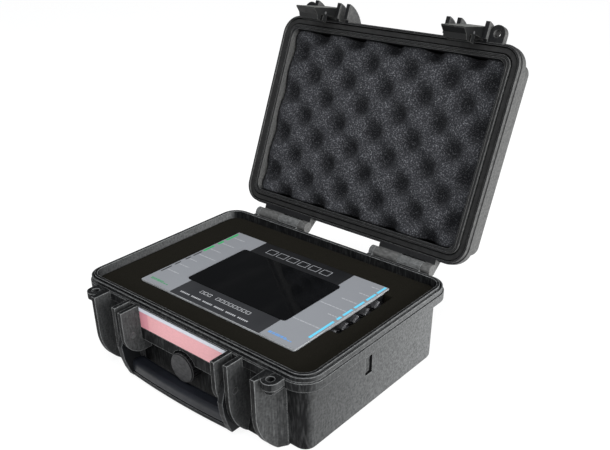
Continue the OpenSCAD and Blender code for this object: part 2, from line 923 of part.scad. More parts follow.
// Brackets at the two ends that hold the display under the panel.
module display_clamps() {
    high = panel_low;
    color("#8b8e92")
        for (side = [-1, 1])
            difference() {
                box(
                    [glass_x + side * (glass_w / 2 + 1) - 5, -12, high - 6.2],
                    [glass_x + side * (glass_w / 2 + 1) + 5, 12, high]);
                box(
                    [glass_x - glass_w / 2 + 2.9, -13, inst_top + glass_proud - glass_t - 5],
                    [glass_x + glass_w / 2 - 2.9, 13, high + 1]);
            }
}

board_low = inst_low + sheet + 5;
board_t = 1.6;
board_w = inst_w - 2 * sheet - 30;
board_d = inst_d - 2 * sheet - 12;
board_screw_x = board_w / 2 - 6;
board_screw_y = board_d / 2 - 6;

module at_board_corners() {
    for (sx = [-1, 1], sy = [-1, 1])
        translate([sx * board_screw_x, inst_y + sy * board_screw_y, 0])
            children();
}

module main_board() {
    color("#1f6b3c")
        difference() {
            box([-board_w / 2, inst_y - board_d / 2, board_low], [board_w / 2, inst_y + board_d / 2, board_low + board_t]);
            at_board_corners()
                translate([0, 0, board_low - 1])
                    cylinder(h = board_t + 2, r = 1.7);
        }
}

module board_standoffs() {
    color("#b9a15c")
        at_board_corners()
            translate([0, 0, inst_low + sheet])
                difference() {
                    cylinder(h = board_low - inst_low - sheet, r = 3);
                    translate([0, 0, 1])
                        cylinder(h = board_low - inst_low, r = 1.25);
                }
}

module board_screws() {
    color("#b8babd")
        at_board_corners() {
            translate([0, 0, board_low - 3])
                cylinder(h = board_t + 3, r = 1.25);
            translate([0, 0, board_low + board_t])
                cylinder(h = 1.8, r = 2.6);
        }
}

module heat_spreader() {
    color("#b4b7bb")
        translate([-40, inst_y - 15, board_low + board_t]) {
            cube([36, 30, 2]);
            for (i = [0:6])
                translate([i * 5.4 + 1, 0, 2])
                    cube([1.6, 30, 4]);
        }
}

module processor_shield() {
    color("#c4c6c9")
        translate([6, inst_y - 18, board_low + board_t])
            cube([44, 36, 3]);
}

module battery_pack() {
    cell_r = 5.6;
    color("#2f6fa8")
        for (i = [0:2])
            rod_x(-38, 38, cell_r, inst_y + board_d / 2 - 22 + i * (2 * cell_r + 0.4) - 8, board_low + board_t + cell_r + 0.2);
}

// A coaxial socket on the right-hand wall, pointing out along X.
module output_sockets() {
    x = inst_w / 2;
    color("#26272a")
        for (i = [0:len(socket_y) - 1])
            difference() {
                union() {
                    rod_x(x - sheet - 6, x + socket_length(i), socket_r, inst_y + socket_y[i], socket_z);
                    rod_x(x - sheet - 4, x - sheet, nut_r, inst_y + socket_y[i], socket_z);
                    if (is_bayonet(i))
                        translate([x + socket_len - 2, inst_y + socket_y[i], socket_z - socket_r - 0.9])
                            cylinder(h = 2 * socket_r + 1.8, r = 1);
                }
                rod_x(x + socket_length(i) - 3, x + socket_length(i) + 1, socket_r - 1, inst_y + socket_y[i], socket_z);
            }
}

function is_bayonet(i) = len(search(i, bayonet_sockets)) > 0;
function socket_length(i) = is_bayonet(i) ? socket_len : socket_len - 3.4;

module output_socket_nuts() {
    x = inst_w / 2;
    color("#c9cbce")
        for (y = socket_y)
            translate([x, inst_y + y, socket_z])
                rotate([0, 90, 0])
                    difference() {
                        cylinder(h = 2.2, r = nut_r, $fn = 6);
                        translate([0, 0, -1])
                            cylinder(h = 4, r = socket_r);
                    }
}

// Coaxial sockets on the left-hand wall, sunk flush.
module input_sockets() {
    x = -inst_w / 2;
    color("#26272a")
        for (y = input_y)
            difference() {
                union() {
                    rod_x(x, x + sheet + 8, socket_r, inst_y + y, socket_z);
                    rod_x(x + sheet, x + sheet + 4, nut_r, inst_y + y, socket_z);
                }
                rod_x(x - 1, x + 3, socket_r - 1, inst_y + y, socket_z);
            }
}

module power_inlet() {
    x = -inst_w / 2;
    color("#161616")
        difference() {
            box([x, inst_y + inlet_y - 5, socket_z - 4], [x + 11, inst_y + inlet_y + 5, socket_z + 4]);
            rod_x(x - 1, x + 3.5, 2.75, inst_y + inlet_y, socket_z);
        }
}

module power_button() {
    x = -inst_w / 2;
    color("#5a5c60")
        rod_x(x, x + 6, button_r, inst_y + button_y, socket_z);
}

base_shell();
lower_foam_pad();
foam_cradle();
hinge_pins();
handle_pins();
valve_body();
valve_seal();
name_card();
name_card_header();
lid_shell();
lid_gasket();
lid_foam();
latch_pins();
latch_left();
latch_right();
latch_left_cross_pin();
latch_right_cross_pin();
handle_frame();
handle_grip_cover();
valve_knob();
chassis_tub();
front_panel();
left_film();
right_film();
centre_film();
touch_glass();
display_module();
display_clamps();
main_board();
board_standoffs();
board_screws();
heat_spreader();
processor_shield();
battery_pack();
output_sockets();
output_socket_nuts();
input_sockets();
power_inlet();
power_button();
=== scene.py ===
"""Looks of a portable test instrument in a hard carrying case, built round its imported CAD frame.

Lengths are in metres. X runs to the right along the front of the case, Y to the rear and Z up.
The lid stands open at rest. Pieces in the lid are shaped as if it were shut, then turned open.
"""

import json
import math

import bmesh
import bpy
from mathutils import Matrix, Vector, noise


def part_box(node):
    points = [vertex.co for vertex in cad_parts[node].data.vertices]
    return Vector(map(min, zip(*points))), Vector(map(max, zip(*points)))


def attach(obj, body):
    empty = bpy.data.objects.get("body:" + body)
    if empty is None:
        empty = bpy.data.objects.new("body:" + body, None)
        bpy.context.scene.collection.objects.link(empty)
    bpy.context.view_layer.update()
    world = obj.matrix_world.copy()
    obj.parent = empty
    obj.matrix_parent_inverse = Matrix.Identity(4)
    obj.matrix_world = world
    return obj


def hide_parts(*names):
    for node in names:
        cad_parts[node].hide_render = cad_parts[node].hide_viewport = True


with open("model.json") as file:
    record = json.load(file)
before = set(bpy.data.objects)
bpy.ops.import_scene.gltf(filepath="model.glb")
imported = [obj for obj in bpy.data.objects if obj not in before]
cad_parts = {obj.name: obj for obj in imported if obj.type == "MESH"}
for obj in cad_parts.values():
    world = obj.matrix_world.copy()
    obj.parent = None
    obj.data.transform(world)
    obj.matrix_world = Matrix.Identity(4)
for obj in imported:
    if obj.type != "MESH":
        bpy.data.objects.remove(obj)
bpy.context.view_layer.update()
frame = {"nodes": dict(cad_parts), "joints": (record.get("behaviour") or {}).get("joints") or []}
nodes = frame["nodes"]

MM = 0.001


# ---- The lid's shut frame ----

lid_joint = next(j for j in frame["joints"] if j["name"] == "lid_hinge")
hinge_axis = Vector(lid_joint["pos_m"])
OPEN_TURN = math.radians(lid_joint["range_deg"][0])
from_hinge = Matrix.Translation(hinge_axis)
to_open = from_hinge @ Matrix.Rotation(OPEN_TURN, 4, "X") @ from_hinge.inverted()
to_shut = to_open.inverted()


def shut_box(node):
    """Lowest and highest corner of a node in the lid's shut frame."""
    points = [to_shut @ v.co for v in nodes[node].data.vertices]
    low = Vector([min(p[i] for p in points) for i in range(3)])
    high = Vector([max(p[i] for p in points) for i in range(3)])
    return low, high


# ---- Camera, floor and light ----

CAMERA_PLACE = Vector((0.4139, -0.4216, 0.3896))
CAMERA_AIM = Vector((0.0292, 0.0202, 0.0718))
CAMERA_ROLL = math.radians(-0.98)
CAMERA_LENS = 46.07
CAMERA_SHIFT_UP = 0.0895

# The sky is brightest in this direction and darkest away from it
SKY_BRIGHT_SIDE = (0.62, -0.55, 0.56)
SKY_DARK = 0.06
SKY_BRIGHT = 0.75


def make_camera():
    data = bpy.data.cameras.new("camera")
    data.lens = CAMERA_LENS
    data.sensor_width = 36.0
    data.shift_y = CAMERA_SHIFT_UP
    camera = bpy.data.objects.new("camera", data)
    bpy.context.scene.collection.objects.link(camera)
    looking = (CAMERA_AIM - CAMERA_PLACE).to_track_quat("-Z", "Y").to_matrix().to_4x4()
    camera.matrix_world = Matrix.Translation(CAMERA_PLACE) @ looking @ Matrix.Rotation(CAMERA_ROLL, 4, "Z")
    bpy.context.scene.camera = camera


def make_area_light(name, place, aim, size, power):
    data = bpy.data.lights.new(name, "AREA")
    data.shape = "RECTANGLE"
    data.size = size[0]
    data.size_y = size[1]
    data.energy = power
    light = bpy.data.objects.new(name, data)
    bpy.context.scene.collection.objects.link(light)
    light.location = place
    light.rotation_euler = (Vector(aim) - Vector(place)).to_track_quat("-Z", "Y").to_euler()


def make_studio():
    """A white sweep under soft light that comes mostly from the right and the front."""
    world = bpy.data.worlds.new("studio")
    world.use_nodes = True
    tree = world.node_tree
    background = tree.nodes["Background"]
    background.inputs["Color"].default_value = (0.93, 0.96, 1.0, 1)
    direction = tree.nodes.new("ShaderNodeTexCoord")
    facing = tree.nodes.new("ShaderNodeVectorMath")
    facing.operation = "DOT_PRODUCT"
    facing.inputs[1].default_value = SKY_BRIGHT_SIDE
    tree.links.new(direction.outputs["Generated"], facing.inputs[0])
    level = tree.nodes.new("ShaderNodeMapRange")
    level.inputs["From Min"].default_value = -0.35
    level.inputs["From Max"].default_value = 0.8
    level.inputs["To Min"].default_value = SKY_DARK
    level.inputs["To Max"].default_value = SKY_BRIGHT
    tree.links.new(facing.outputs["Value"], level.inputs["Value"])
    tree.links.new(level.outputs["Result"], background.inputs["Strength"])
    bpy.context.scene.world = world

    centre = (0.0, 0.02, 0.1)
    make_area_light("overhead", (0.1, -0.1, 1.5), centre, (1.2, 1.0), 12)
    make_area_light("right_key", (1.4, -0.1, 0.45), centre, (0.9, 0.7), 22)
    make_area_light("front_fill", (-0.2, -1.5, 0.7), centre, (1.0, 0.7), 7)

    bpy.ops.mesh.primitive_plane_add(size=12, location=(0, 0, 0))
    floor = bpy.context.object
    floor.name = "floor"
    paint = Surface("floor_paint", (0.2, 0.2, 0.2), 0.95, specular=0.0)
    paint.set("Emission Color", (1, 1, 1, 1))
    paint.set("Emission Strength", 0.88)
    floor.data.materials.append(paint.material)


# ---- Materials ----


class Surface:
    """One procedural material: its Principled shader, and short ways to add nodes to it."""

    def __init__(self, name, colour, rough, metal=0.0, specular=0.5):
        self.material = bpy.data.materials.new(name)
        self.material.use_nodes = True
        self.tree = self.material.node_tree
        self.shader = self.tree.nodes["Principled BSDF"]
        self.set("Base Color", (*colour, 1))
        self.set("Roughness", rough)
        self.set("Metallic", metal)
        self.set("Specular IOR Level", specular)
        self.place = None
        self.rounded = None

    def set(self, socket, value):
        self.shader.inputs[socket].default_value = value

    def link(self, output, socket):
        self.tree.links.new(output, self.shader.inputs[socket])

    def add(self, kind, **inputs):
        """Adds a node. Each input is a plain value or another node's output."""
        node = self.tree.nodes.new(kind)
        for name, value in inputs.items():
            by_number = name.startswith("_")
            socket = node.inputs[int(name[1:]) if by_number else name.replace("_", " ")]
            if isinstance(value, bpy.types.NodeSocket):
                self.tree.links.new(value, socket)
            else:
                socket.default_value = value
        return node

    def points(self, stretch=(1, 1, 1)):
        """Places on the object in metres, stretched along each axis."""
        if self.place is None:
            self.place = self.add("ShaderNodeTexCoord").outputs["Object"]
        if stretch == (1, 1, 1):
            return self.place
        mapping = self.add("ShaderNodeMapping", Vector=self.place, Scale=stretch)
        return mapping.outputs["Vector"]

    def noise(self, size, detail=2.0, stretch=(1, 1, 1)):
        """Cloudy noise from 0 to 1 whose lumps are about `size` across."""
        node = self.add(
            "ShaderNodeTexNoise", Vector=self.points(stretch), Scale=1 / size, Detail=detail)
        return node.outputs["Fac"]

    def cells(self, size):
        """Distance from the middle of cells about `size` across."""
        return self.add("ShaderNodeTexVoronoi", Vector=self.points(), Scale=1 / size).outputs["Distance"]

    def spread(self, value, low, high, to_low=0.0, to_high=1.0):
        """Maps low..high to to_low..to_high, held at both ends."""
        node = self.add(
            "ShaderNodeMapRange", Value=value, From_Min=low, From_Max=high, To_Min=to_low, To_Max=to_high)
        return node.outputs["Result"]

    def maths(self, operation, a, b):
        node = self.add("ShaderNodeMath", _0=a, _1=b)
        node.operation = operation
        return node.outputs["Value"]

    def mix(self, share, first, second):
        """A colour between two colours."""
        node = self.tree.nodes.new("ShaderNodeMix")
        node.data_type = "RGBA"
        for index, value in ((0, share), (6, first), (7, second)):
            if isinstance(value, bpy.types.NodeSocket):
                self.tree.links.new(value, node.inputs[index])
            elif index == 0:
                node.inputs[index].default_value = value
            else:
                node.inputs[index].default_value = (*value, 1)
        return node.outputs[2]

    def axis(self, letter):
        """The place along X, Y or Z, in metres."""
        return self.add("ShaderNodeSeparateXYZ", Vector=self.points()).outputs[letter]

    def facing(self, direction):
        """How far the surface faces a direction, from -1 to 1, in the frame's axes at rest."""
        normal = self.add("ShaderNodeTexCoord").outputs["Normal"]
        turn = self.add("ShaderNodeVectorMath", _0=normal, _1=direction)
        turn.operation = "DOT_PRODUCT"
        return turn.outputs["Value"]

    def edges(self, radius):
        """1 at outside edges and 0 on flat faces. The shading of the edges is rounded as well."""
        bevel = self.add("ShaderNodeBevel", Radius=radius)
        bevel.samples = 6
        self.rounded = bevel.outputs["Normal"]
        flat = self.add("ShaderNodeNewGeometry").outputs["Normal"]
        turn = self.add("ShaderNodeVectorMath", _0=bevel.outputs["Normal"], _1=flat)
        turn.operation = "DOT_PRODUCT"
        edge = self.spread(turn.outputs["Value"], 0.99, 0.88)
        openness = self.add("ShaderNodeAmbientOcclusion", Distance=4 * MM)
        openness.samples = 4
        outside = self.spread(openness.outputs["AO"], 0.55, 0.8)
        return self.maths("MULTIPLY", edge, outside)

    def bump(self, *layers):
        """Stacks bumps. Each layer is (height, depth in metres, strength)."""
        normal = self.rounded
        for height, depth, strength in layers:
            node = self.add("ShaderNodeBump", Height=height, Distance=depth, Strength=strength)
            if normal is not None:
                self.tree.links.new(normal, node.inputs["Normal"])
            normal = node.outputs["Normal"]
        self.link(normal, "Normal")


def scaled(colour, factor):
    return tuple(c * factor for c in colour)


def moulded_plastic(
        name, colour, rough, wear_and_light_colour, wear=0.6, scuffs=0.0, grain=0.45 * MM, edge=0.7 * MM,
        specular=0.2, pale=()):
    """Moulded plastic with a pebbled skin, faint cloudiness, scuffs that run up and down, and worn edges.

    Each entry of `pale` is a function that gives the share of the pale colour over some part of the piece.
    Some entries mark real wear, and others paint light onto faces turned toward the lamps.
    """
    s = Surface(name, colour, rough, specular=specular)
    cloud = s.spread(s.noise(28 * MM, 3), 0.3, 0.7)
    skin = s.mix(cloud, scaled(colour, 0.75), scaled(colour, 1.3))
    speck = s.spread(s.noise(0.9 * MM, 2), 0.56, 0.75, 0, 0.6)
    skin = s.mix(speck, skin, scaled(colour, 1.9))
    streak = s.noise(1.5 * MM, 3, (1, 1, 0.16))
    patch = s.spread(s.noise(22 * MM, 2), 0.35, 0.65)
    if scuffs:
        scuff = s.maths("MULTIPLY", s.spread(streak, 0.46, 0.72, 0, scuffs), s.spread(patch, 0, 1, 0.35, 1))
        skin = s.mix(scuff, skin, wear_and_light_colour)
    # Pale shares: real wear at the hinge barrels, painted light on faces turned toward the lamps.
    for share in pale:
        mottled = s.spread(s.noise(1.8 * MM, 3, (0.5, 1, 1)), 0.25, 0.7, 0.35, 1)
        skin = s.mix(s.maths("MULTIPLY", share(s), mottled), skin, wear_and_light_colour)
    chipped = s.spread(s.noise(2.2 * MM, 3), 0.3, 0.55, 0.4 * wear, wear)
    worn_edge = s.maths("MULTIPLY", s.edges(edge), chipped)
    skin = s.mix(worn_edge, skin, wear_and_light_colour)
    s.link(skin, "Base Color")
    s.link(s.spread(s.noise(4 * MM, 3), 0.3, 0.7, rough - 0.07, rough + 0.1), "Roughness")
    s.bump((s.noise(grain, 2), 0.12 * MM, 0.35), (streak, 0.15 * MM, 0.12))
    return s


def hinge_barrels(s):
    """The barrels round the hinge axis, polished by handling."""
    away_y = s.maths("SUBTRACT", s.axis("Y"), hinge_axis.y)
    away_z = s.maths("SUBTRACT", s.axis("Z"), hinge_axis.z)
    squared = s.maths("ADD", s.maths("MULTIPLY", away_y, away_y), s.maths("MULTIPLY", away_z, away_z))
    return s.spread(squared, (5.5 * MM) ** 2, (6.2 * MM) ** 2, 0.55, 0)


def right_wall_painted_light(s):
    """Painted light on the end wall at the right, which faces the key lamp, strongest toward the rear."""
    turned = s.spread(s.facing((1, 0, 0)), 0.72, 0.99)
    rearward = s.spread(s.axis("Y"), -0.085, 0.085, 0.22, 0.72)
    return s.maths("MULTIPLY", turned, rearward)


def lid_right_side_painted_light(s):
    """Painted light on the outer face of the lid at the right, which faces the key lamp."""
    return s.spread(s.facing((1, 0, 0)), 0.4, 0.95, 0, 0.6)


def latch_top_painted_light(s):
    """Painted light on the outer face of a latch, which lies on top while the lid is open and catches the
    light from above.
    """
    return s.spread(s.facing((0, 0.2, 0.98)), 0.88, 0.96, 0, 0.9)


def knob_face(s):
    """The flat front of the knob."""
    return s.spread(s.facing((0, -1, 0)), 0.9, 0.97, 0, 0.5)


def foam(name, colour, glint, cell=0.8 * MM, glints=0.5, depth=0.4 * MM, shade=0.0):
    """Open-cell foam: tiny dark holes, light cell walls, painted glints of light, and with `shade` painted
    shade in the deep pits.
    """
    s = Surface(name, colour, 0.95, specular=0.08)
    holes = s.spread(s.cells(cell), 0.1, 0.75)
    skin = s.mix(holes, scaled(colour, 1.2), scaled(colour, 0.75))
    cloud = s.spread(s.noise(18 * MM, 2), 0.3, 0.7)
    skin = s.mix(cloud, skin, scaled(colour, 0.9))
    # Painted glints: light specks that stand in for highlights on the cell edges.
    painted_glint_specks = s.spread(s.noise(cell * 1.2, 2), 0.52, 0.74, 0, glints)
    skin = s.mix(painted_glint_specks, skin, glint)
    if shade:
        # Painted shade: the foam colour darkens where the surface is hemmed in, in the deep pits.
        openness = s.add("ShaderNodeAmbientOcclusion", Distance=26 * MM)
        openness.samples = 8
        painted_pit_shade = s.spread(openness.outputs["AO"], 0.95, 0.5, 0, shade)
        skin = s.mix(painted_pit_shade, skin, scaled(colour, 0.12))
    s.link(skin, "Base Color")
    s.bump((s.cells(cell), depth, 0.5), (s.noise(cell * 3, 2), depth, 0.3))
    return s


def steel(name, colour, rough):
    """Turned steel with faint rings and small stains."""
    s = Surface(name, colour, rough, metal=1.0)
    stain = s.spread(s.noise(1.5 * MM, 3), 0.35, 0.7)
    s.link(s.mix(stain, colour, scaled(colour, 0.7)), "Base Color")
    s.link(s.spread(s.noise(0.5 * MM, 2), 0.3, 0.7, rough - 0.1, rough + 0.15), "Roughness")
    s.bump((s.noise(0.25 * MM, 2, (0.1, 1, 1)), 0.05 * MM, 0.25))
    return s


def rubber(name, colour):
    """Matt rubber with bloom."""
    s = Surface(name, colour, 0.8, specular=0.3)
    bloom = s.spread(s.noise(5 * MM, 3), 0.4, 0.75)
    s.link(s.mix(bloom, colour, scaled(colour, 2.0)), "Base Color")
    s.bump((s.noise(0.4 * MM, 2), 0.05 * MM, 0.3))
    return s


def printed_film(name, front, rear):
    """Satin printed film whose tone changes from the panel's front to its rear."""
    s = Surface(name, front, 0.38, specular=0.45)
    low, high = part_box("front_panel")
    across = s.add("ShaderNodeSeparateXYZ", Vector=s.points()).outputs["Y"]
    skin = s.mix(s.spread(across, low.y, high.y), front, rear)
    flecks = s.spread(s.noise(0.3 * MM, 2), 0.4, 0.7, 0, 0.25)
    skin = s.mix(flecks, skin, scaled(front, 0.8))
    smear = s.spread(s.noise(30 * MM, 3, (1, 0.4, 1)), 0.4, 0.7)
    s.link(skin, "Base Color")
    s.link(s.spread(smear, 0, 1, 0.32, 0.46), "Roughness")
    s.bump((s.noise(0.25 * MM, 2), 0.02 * MM, 0.3))
    return s


def ink(name, colour):
    """Screen-printed ink, a little uneven."""
    s = Surface(name, colour, 0.45, specular=0.4)
    thin = s.spread(s.noise(0.6 * MM, 3), 0.35, 0.75)
    s.link(s.mix(thin, colour, scaled(colour, 0.8)), "Base Color")
    s.bump((s.noise(0.2 * MM, 2), 0.02 * MM, 0.3))
    return s


def screen_glass():
    s = Surface("screen_glass", (0.003, 0.0032, 0.0036), 0.07, specular=0.3)
    smear = s.spread(s.noise(16 * MM, 4, (1, 0.35, 1)), 0.45, 0.7)
    s.link(s.spread(smear, 0, 1, 0.05, 0.16), "Roughness")
    s.link(s.mix(smear, (0.003, 0.0032, 0.0036), (0.0045, 0.0046, 0.005)), "Base Color")
    return s


def paper(name, colour, left_colour=None):
    """Card under a clear sleeve, with fibres, and a darker stretch at the left."""
    s = Surface(name, colour, 0.5, specular=0.4)
    fibre = s.spread(s.noise(0.7 * MM, 3, (0.3, 1, 1)), 0.35, 0.7)
    skin = s.mix(fibre, colour, scaled(colour, 0.88))
    if left_colour:
        low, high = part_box("name_card")
        across = s.add("ShaderNodeSeparateXYZ", Vector=s.points()).outputs["X"]
        start = low.x + 0.09 * (high.x - low.x)
        skin = s.mix(s.spread(across, start, start + 2 * MM, 0.75, 0), skin, left_colour)
    crease = s.spread(s.noise(20 * MM, 3, (1, 1, 0.5)), 0.4, 0.7)
    skin = s.mix(s.spread(crease, 0, 1, 0, 0.3), skin, scaled(colour, 0.85))
    s.link(skin, "Base Color")
    s.bump((s.noise(0.5 * MM, 2), 0.03 * MM, 0.3), (crease, 0.3 * MM, 0.1))
    return s


def circuit_board():
    """Green solder mask with a lattice of tracks."""
    s = Surface("board_green", (0.01, 0.09, 0.03), 0.35)
    brick = s.add("ShaderNodeTexBrick", Vector=s.points(), Scale=260.0)
    brick.inputs["Mortar Size"].default_value = 0.03
    tracks = s.spread(brick.outputs["Fac"], 0.2, 0.8, 0, 0.6)
    patch = s.spread(s.noise(9 * MM, 1), 0.45, 0.5)
    s.link(s.mix(s.maths("MULTIPLY", tracks, patch), (0.01, 0.09, 0.03), (0.03, 0.22, 0.08)), "Base Color")
    s.bump((tracks, 0.05 * MM, 0.4))
    return s


def assign(surface, *names):
    """Gives a material to CAD nodes."""
    for name in names:
        slots = nodes[name].material_slots
        for slot in slots:
            slot.link = "OBJECT"
            slot.material = surface.material


WORN = (0.17, 0.175, 0.18)


def paint_cad_nodes():
    # The end wall at the right gets painted light, and the hinge barrels are worn pale.
    case = moulded_plastic(
        "case_plastic", (0.005, 0.0052, 0.0055), 0.52, (0.24, 0.245, 0.245), wear=1.0, scuffs=0.14,
        edge=1.1 * MM, specular=0.07, pale=(hinge_barrels, right_wall_painted_light))
    # The lid's right side gets painted light, and the hinge barrels are worn pale.
    lid = moulded_plastic(
        "lid_plastic", (0.006, 0.0062, 0.0068), 0.42, (0.2, 0.2, 0.195), wear=0.45, scuffs=0.04,
        edge=0.9 * MM, specular=0.14, pale=(hinge_barrels, lid_right_side_painted_light))
    # The latch's upward face gets painted light.
    latch = moulded_plastic(
        "latch_plastic", (0.0085, 0.0088, 0.009), 0.4, (0.24, 0.245, 0.23), wear=0.4, pale=(latch_top_painted_light,))
    handle = moulded_plastic(
        "handle_plastic", (0.0055, 0.0058, 0.0065), 0.46, WORN, wear=0.9, edge=1.1 * MM, specular=0.12)
    grip = moulded_plastic(
        "grip_plastic", (0.008, 0.009, 0.012), 0.36, (0.06, 0.062, 0.07), wear=0.3, grain=0.9 * MM)
    knob = moulded_plastic(
        "knob_plastic", (0.007, 0.007, 0.0075), 0.55, (0.11, 0.11, 0.112), wear=0.5, specular=0.12,
        pale=(knob_face,))
    black = moulded_plastic("black_plastic", (0.01, 0.01, 0.01), 0.4, WORN, wear=0.2)
    assign(case, "base_shell")
    assign(lid, "lid_shell")
    assign(latch, "latch_left", "latch_right")
    assign(handle, "handle_frame")
    assign(grip, "handle_grip_cover")
    assign(knob, "valve_knob")
    assign(black, "valve_body", "power_inlet")
    assign(moulded_plastic("button_plastic", (0.09, 0.09, 0.095), 0.4, WORN, wear=0.3), "power_button")
    assign(rubber("seal_rubber", (0.008, 0.008, 0.008)), "lid_gasket", "valve_seal")
    pins = steel("pin_steel", (0.55, 0.55, 0.56), 0.35)
    assign(pins, "hinge_pins", "handle_pins", "latch_pins", "board_screws")
    assign(pins, "latch_left_cross_pin", "latch_right_cross_pin")
    assign(paper("card_pink", (0.74, 0.37, 0.39), (0.55, 0.19, 0.25)), "name_card")
    assign(paper("card_white", (0.6, 0.62, 0.68)), "name_card_header")
    assign(moulded_plastic("chassis_paint", (0.012, 0.012, 0.013), 0.45, WORN, wear=0.2), "chassis_tub")
    paint = moulded_plastic("panel_paint", (0.4, 0.41, 0.42), 0.45, (0.6, 0.6, 0.6), wear=0.4)
    assign(paint, "front_panel")
    assign(printed_film("film_grey", (0.25, 0.26, 0.278), (0.235, 0.243, 0.26)), "left_film", "right_film")
    assign(printed_film("film_dark", (0.03, 0.031, 0.034), (0.006, 0.0062, 0.0068)), "centre_film")
    assign(screen_glass(), "touch_glass")
    module = steel("module_metal", (0.6, 0.6, 0.62), 0.4)
    assign(module, "display_module", "display_clamps", "processor_shield")
    assign(circuit_board(), "main_board")
    assign(steel("standoff_brass", (0.75, 0.55, 0.25), 0.35), "board_standoffs")
    assign(steel("heat_aluminium", (0.7, 0.7, 0.72), 0.45), "heat_spreader")
    wrap = moulded_plastic("battery_wrap", (0.02, 0.1, 0.28), 0.35, (0.1, 0.25, 0.5), wear=0.2)
    assign(wrap, "battery_pack")
    assign(steel("socket_dark", (0.045, 0.045, 0.048), 0.3), "output_sockets", "input_sockets")
    assign(steel("socket_metal", (0.75, 0.75, 0.77), 0.22), "output_socket_nuts")


# ---- Mesh helpers ----


def new_piece(name, mesh, body, surface, smooth=True):
    piece = bpy.data.objects.new(name, mesh)
    bpy.context.scene.collection.objects.link(piece)
    mesh.materials.clear()
    mesh.materials.append(surface.material)
    mesh.polygons.foreach_set("use_smooth", [smooth] * len(mesh.polygons))
    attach(piece, body)
    return piece


def closed_grid(name, columns, rows, place, back):
    """A closed mesh: points place(u, v) for u and v from -1 to 1, and a flat back at back(point)."""
    form = bmesh.new()
    grid = []
    for j in range(rows + 1):
        v = 2 * j / rows - 1
        grid.append([form.verts.new(place(2 * i / columns - 1, v)) for i in range(columns + 1)])
    for j in range(rows):
        for i in range(columns):
            form.faces.new((grid[j][i], grid[j][i + 1], grid[j + 1][i + 1], grid[j + 1][i]))
    around = (
        grid[0][:-1] + [row[-1] for row in grid[:-1]] + grid[-1][:0:-1] + [row[0] for row in grid[:0:-1]])
    behind = [form.verts.new(back(v.co)) for v in around]
    count = len(around)
    for i in range(count):
        form.faces.new((around[i], behind[i], behind[(i + 1) % count], around[(i + 1) % count]))
    form.faces.new(behind[::-1])
    bmesh.ops.recalc_face_normals(form, faces=form.faces[:])
    mesh = bpy.data.meshes.new(name)
    form.to_mesh(mesh)
    form.free()
    return mesh


def applied(piece):
    """Bakes a piece's modifiers into its mesh."""
    graph = bpy.context.evaluated_depsgraph_get()
    mesh = bpy.data.meshes.new_from_object(piece.evaluated_get(graph))
    piece.modifiers.clear()
    piece.data = mesh


def soft_copy(node, name, voxel, body, surface, lump=0.2 * MM, lump_size=6 * MM):
    """A foam piece in the shape of a CAD node, with slightly rounded edges and an uneven cut surface."""
    mesh = nodes[node].data.copy()
    piece = bpy.data.objects.new(name, mesh)
    bpy.context.scene.collection.objects.link(piece)
    weld = piece.modifiers.new("weld", "WELD")
    weld.merge_threshold = 0.01 * MM
    remesh = piece.modifiers.new("remesh", "REMESH")
    remesh.mode = "VOXEL"
    remesh.voxel_size = voxel
    even = piece.modifiers.new("even", "SMOOTH")
    even.factor = 0.5
    even.iterations = 2
    clouds = bpy.data.textures.new(name + "_lumps", "CLOUDS")
    clouds.noise_scale = lump_size
    uneven = piece.modifiers.new("uneven", "DISPLACE")
    uneven.texture = clouds
    uneven.mid_level = 1.0
    uneven.strength = lump * 2
    applied(piece)
    piece.data.materials.clear()
    piece.data.materials.append(surface.material)
    piece.data.polygons.foreach_set("use_smooth", [True] * len(piece.data.polygons))
    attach(piece, body)
    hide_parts(node)
    return piece


# ---- Convoluted foam in the lid ----

PIT_PITCH_X = 42.6 * MM
PIT_PITCH_Y = 40.6 * MM
PIT_DEPTH = 14 * MM
PIT_SHARPNESS = 2.0
FOAM_CORNER = 9 * MM
LID_FOAM_TAPER = 4 * MM


def make_lid_foam():
    low, high = shut_box("lid_foam")
    middle = (low + high) / 2
    half_x = (high.x - low.x) / 2
    half_y = (high.y - low.y) / 2

    def place(u, v):
        y = v * half_y
        into_corner = min(max(0.0, abs(y) - (half_y - FOAM_CORNER)), FOAM_CORNER)
        reach = half_x - FOAM_CORNER + math.sqrt(FOAM_CORNER**2 - into_corner**2)
        x = u * reach
        lattice = math.cos(2 * math.pi * x / PIT_PITCH_X) * math.cos(2 * math.pi * y / PIT_PITCH_Y)
        fall = ((1 + lattice) / 2) ** PIT_SHARPNESS
        rough = 0.5 * MM * noise.noise(Vector((x, y, 0)) / (7 * MM))
        fine = 0.22 * MM * noise.noise(Vector((x, y, 5)) / (1.6 * MM))
        z = low.z + 1 * MM + PIT_DEPTH * fall + rough + fine
        sway = 0.8 * MM * noise.noise(Vector((x, y, 9)) / (30 * MM))
        return Vector((middle.x + x + sway * (1 - abs(u)), middle.y + y, z))

    def back(point):
        return Vector((
            point.x - math.copysign(LID_FOAM_TAPER * 0.8, point.x),
            middle.y + (point.y - middle.y) * (1 - LID_FOAM_TAPER / half_y),
            high.z))

    mesh = closed_grid("lid_foam_convoluted", 190, 132, place, back)
    mesh.transform(to_open)
    # The pits of this foam get painted shade, and its cell edges get painted glints.
    surface = foam(
        "convoluted_foam", (0.026, 0.0268, 0.03), (0.2, 0.205, 0.22), cell=0.9 * MM, glints=0.75,
        depth=0.5 * MM, shade=0.42)
    piece = new_piece("lid_foam_convoluted", mesh, "lid", surface)
    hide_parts("lid_foam")


# ---- Foam in the base ----


def make_base_foam():
    # The cell edges of this foam get painted glints.
    surface = foam(
        "cradle_foam", (0.0085, 0.0076, 0.0053), (0.022, 0.02, 0.015), cell=0.6 * MM, glints=0.35,
        depth=0.25 * MM)
    soft_copy("foam_cradle", "foam_tray", 1.5 * MM, "base", surface, lump=0.12 * MM)
    soft_copy("lower_foam_pad", "foam_floor", 2.6 * MM, "base", surface)


# ---- Printed marks on the instrument's panel ----

INK_THICKNESS = 0.06 * MM


